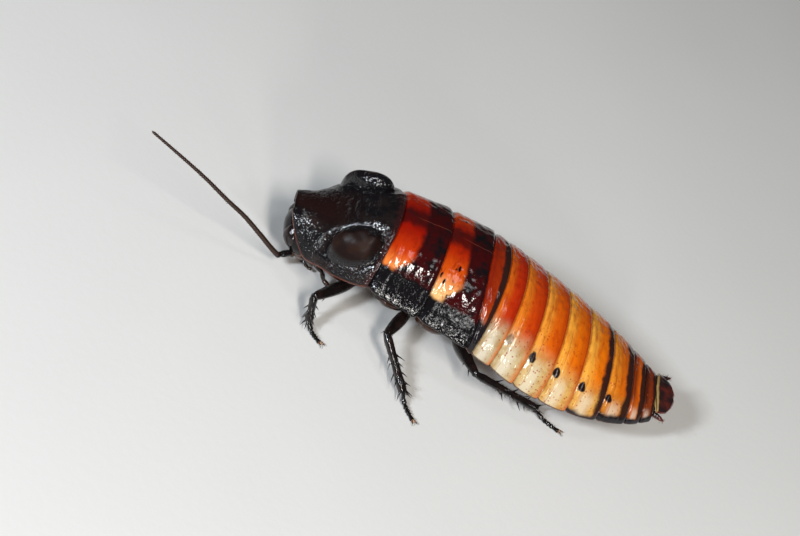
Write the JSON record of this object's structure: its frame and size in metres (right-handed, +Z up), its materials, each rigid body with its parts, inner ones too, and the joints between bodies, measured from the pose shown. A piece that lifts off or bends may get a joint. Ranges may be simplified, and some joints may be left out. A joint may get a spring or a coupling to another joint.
{
  "type": "madagascar hissing cockroach model",
  "caption": "Life-size still model of an adult male horned hissing cockroach standing on its feet, with long feelers, ringed abdomen and spiny legs.",
  "frame": {"origin": "middle of the underside of the model's box, on the floor that the feet stand on", "axes": "+Y from head to tail along the body, +X to the animal's left, +Z up"},
  "size_m": [0.0412, 0.0924, 0.0188],
  "materials": {
    "abdomen_shell": "glossy orange to amber with darker rear margins",
    "antenna": "dark brown, finely ringed",
    "eye": "glossy black, faceted",
    "head_shell": "glossy black shell with fine wrinkles",
    "leg_shell": "glossy black shell with spines",
    "shield_shell": "glossy black-brown, pitted and wrinkled",
    "soft_skin": "soft pale brown skin",
    "tail_shell": "glossy dark red-brown",
    "thorax_shell": "glossy deep red with black-maroon rear bands",
    "underside": "semi-gloss dark brown shell"
  },
  "bodies": {
    "root": {"abdomen_segment_1": "abdomen_shell", "abdomen_segment_2": "abdomen_shell", "abdomen_segment_3": "abdomen_shell", "abdomen_segment_4": "abdomen_shell", "abdomen_segment_5": "abdomen_shell", "abdomen_segment_6": "abdomen_shell", "abdomen_segment_7": "abdomen_shell", "abdomen_segment_8": "abdomen_shell", "abdomen_segment_9": "abdomen_shell", "antenna_left_length_1": "antenna", "antenna_left_length_2": "antenna", "antenna_left_length_3": "antenna", "antenna_left_root": "antenna", "antenna_right_length_1": "antenna", "antenna_right_length_2": "antenna", "antenna_right_length_3": "antenna", "antenna_right_root": "antenna", "cercus_left": "tail_shell", "cercus_right": "tail_shell", "eye_left": "eye", "eye_right": "eye", "head": "head_shell", "leg_fore_left_coxa": "leg_shell", "leg_fore_left_femur": "leg_shell", "leg_fore_left_tarsus": "leg_shell", "leg_fore_left_tibia": "leg_shell", "leg_fore_right_coxa": "leg_shell", "leg_fore_right_femur": "leg_shell", "leg_fore_right_tarsus": "leg_shell", "leg_fore_right_tibia": "leg_shell", "leg_hind_left_coxa": "leg_shell", "leg_hind_left_femur": "leg_shell", "leg_hind_left_tarsus": "leg_shell", "leg_hind_left_tibia": "leg_shell", "leg_hind_right_coxa": "leg_shell", "leg_hind_right_femur": "leg_shell", "leg_hind_right_tarsus": "leg_shell", "leg_hind_right_tibia": "leg_shell", "leg_mid_left_coxa": "leg_shell", "leg_mid_left_femur": "leg_shell", "leg_mid_left_tarsus": "leg_shell", "leg_mid_left_tibia": "leg_shell", "leg_mid_right_coxa": "leg_shell", "leg_mid_right_femur": "leg_shell", "leg_mid_right_tarsus": "leg_shell", "leg_mid_right_tibia": "leg_shell", "mesonotum": "thorax_shell", "mesothorax": "underside", "metanotum": "thorax_shell", "metathorax": "underside", "neck": "soft_skin", "palp_left": "leg_shell", "palp_right": "leg_shell", "pronotal_horn_left": "shield_shell", "pronotal_horn_right": "shield_shell", "pronotum": "shield_shell", "prothorax": "underside", "supra_anal_plate": "tail_shell"}
  },
  "joints": []
}
